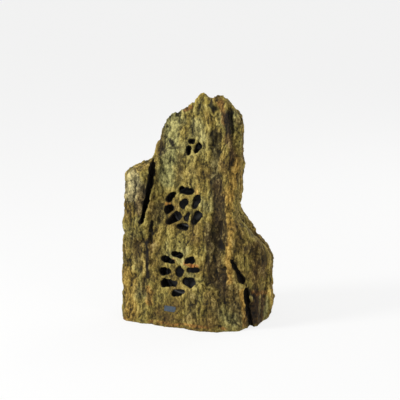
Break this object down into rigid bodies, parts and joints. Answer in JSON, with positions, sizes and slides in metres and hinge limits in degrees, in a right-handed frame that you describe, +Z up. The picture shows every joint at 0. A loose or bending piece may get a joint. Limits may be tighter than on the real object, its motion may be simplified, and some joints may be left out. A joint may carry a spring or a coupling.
{
  "type": "garden speaker",
  "caption": "Tall rock-shaped garden loudspeaker: a cast stone-look shell with sound-hole clusters over woofers and a tweeter, with crossover, line transformer, base plate and cable gland.",
  "frame": {"origin": "on the ground, on the underside of the base plate, below the tallest part of the rock", "axes": "+Z up, -Y out of the face with the sound holes, +X to the right seen from that face"},
  "size_m": [0.3702, 0.3325, 0.5982],
  "materials": {
    "rock": "hand-tinted cast stone, matt",
    "basket_metal": "black powder coat",
    "plate_steel": "zinc plated",
    "screw_steel": "stainless",
    "ferrite": "bare ferrite",
    "cone_pulp": "treated black pulp",
    "surround_rubber": "matt",
    "spider_cloth": "resin-stiffened cloth",
    "dome_cloth": "coated silk",
    "coil_copper": "lacquered copper wire",
    "foam_gasket": "closed-cell foam",
    "faceplate_plastic": "moulded",
    "board_wood": "sealed plywood",
    "base_plastic": "moulded",
    "gland_nylon": "moulded nylon",
    "badge_enamel": "blank, satin",
    "circuit_board": "glass-fibre laminate",
    "standoff_nylon": "moulded nylon",
    "capacitor_film": "wrapped film",
    "resistor_cement": "unglazed",
    "core_laminations": "varnished laminations",
    "winding_tape": "polyester tape over copper"
  },
  "bodies": {
    "enclosure": {"rock_shell": "rock", "upper_woofer_basket": "basket_metal", "upper_woofer_top_plate": "plate_steel", "upper_woofer_magnet": "ferrite", "upper_woofer_yoke": "plate_steel", "upper_woofer_spider": "spider_cloth", "upper_woofer_surround": "surround_rubber", "upper_woofer_gasket": "foam_gasket", "upper_woofer_screws": "screw_steel", "lower_woofer_basket": "basket_metal", "lower_woofer_top_plate": "plate_steel", "lower_woofer_magnet": "ferrite", "lower_woofer_yoke": "plate_steel", "lower_woofer_spider": "spider_cloth", "lower_woofer_surround": "surround_rubber", "lower_woofer_gasket": "foam_gasket", "lower_woofer_screws": "screw_steel", "tweeter_faceplate": "faceplate_plastic", "tweeter_gasket": "foam_gasket", "tweeter_dome": "dome_cloth", "tweeter_suspension": "dome_cloth", "tweeter_voice_coil": "coil_copper", "tweeter_top_plate": "plate_steel", "tweeter_magnet_ring": "ferrite", "tweeter_yoke": "plate_steel", "tweeter_screws": "screw_steel", "baffle_board": "board_wood", "board_screws": "screw_steel", "base_plate": "base_plastic", "base_gasket": "foam_gasket", "base_screws": "screw_steel", "badge_plate": "badge_enamel", "gland_body": "gland_nylon", "gland_nut": "gland_nylon", "gland_seal": "surround_rubber", "gland_cap": "gland_nylon", "crossover_standoffs": "standoff_nylon", "crossover_board": "circuit_board", "crossover_screws": "screw_steel", "woofer_inductor": "coil_copper", "tweeter_inductor": "coil_copper", "woofer_capacitor": "capacitor_film", "tweeter_capacitor": "capacitor_film", "resistor": "resistor_cement", "transformer_core": "core_laminations", "transformer_winding": "winding_tape", "transformer_strap": "plate_steel", "transformer_screws": "screw_steel"},
    "upper_cone": {"upper_woofer_cone": "cone_pulp", "upper_woofer_dust_cap": "cone_pulp", "upper_woofer_voice_coil": "coil_copper"},
    "lower_cone": {"lower_woofer_cone": "cone_pulp", "lower_woofer_dust_cap": "cone_pulp", "lower_woofer_voice_coil": "coil_copper"}
  },
  "joints": [
    {"name": "upper_cone_travel", "type": "slide", "parent": "enclosure", "child": "upper_cone", "axis": [0, -0.9781, 0.2079], "range_m": [-0.003, 0.003], "stiffness_N_per_m": 1200, "deforming": ["upper_woofer_surround", "upper_woofer_spider"]},
    {"name": "lower_cone_travel", "type": "slide", "parent": "enclosure", "child": "lower_cone", "axis": [0, -0.9781, 0.2079], "range_m": [-0.003, 0.003], "stiffness_N_per_m": 1200, "deforming": ["lower_woofer_surround", "lower_woofer_spider"]}
  ]
}
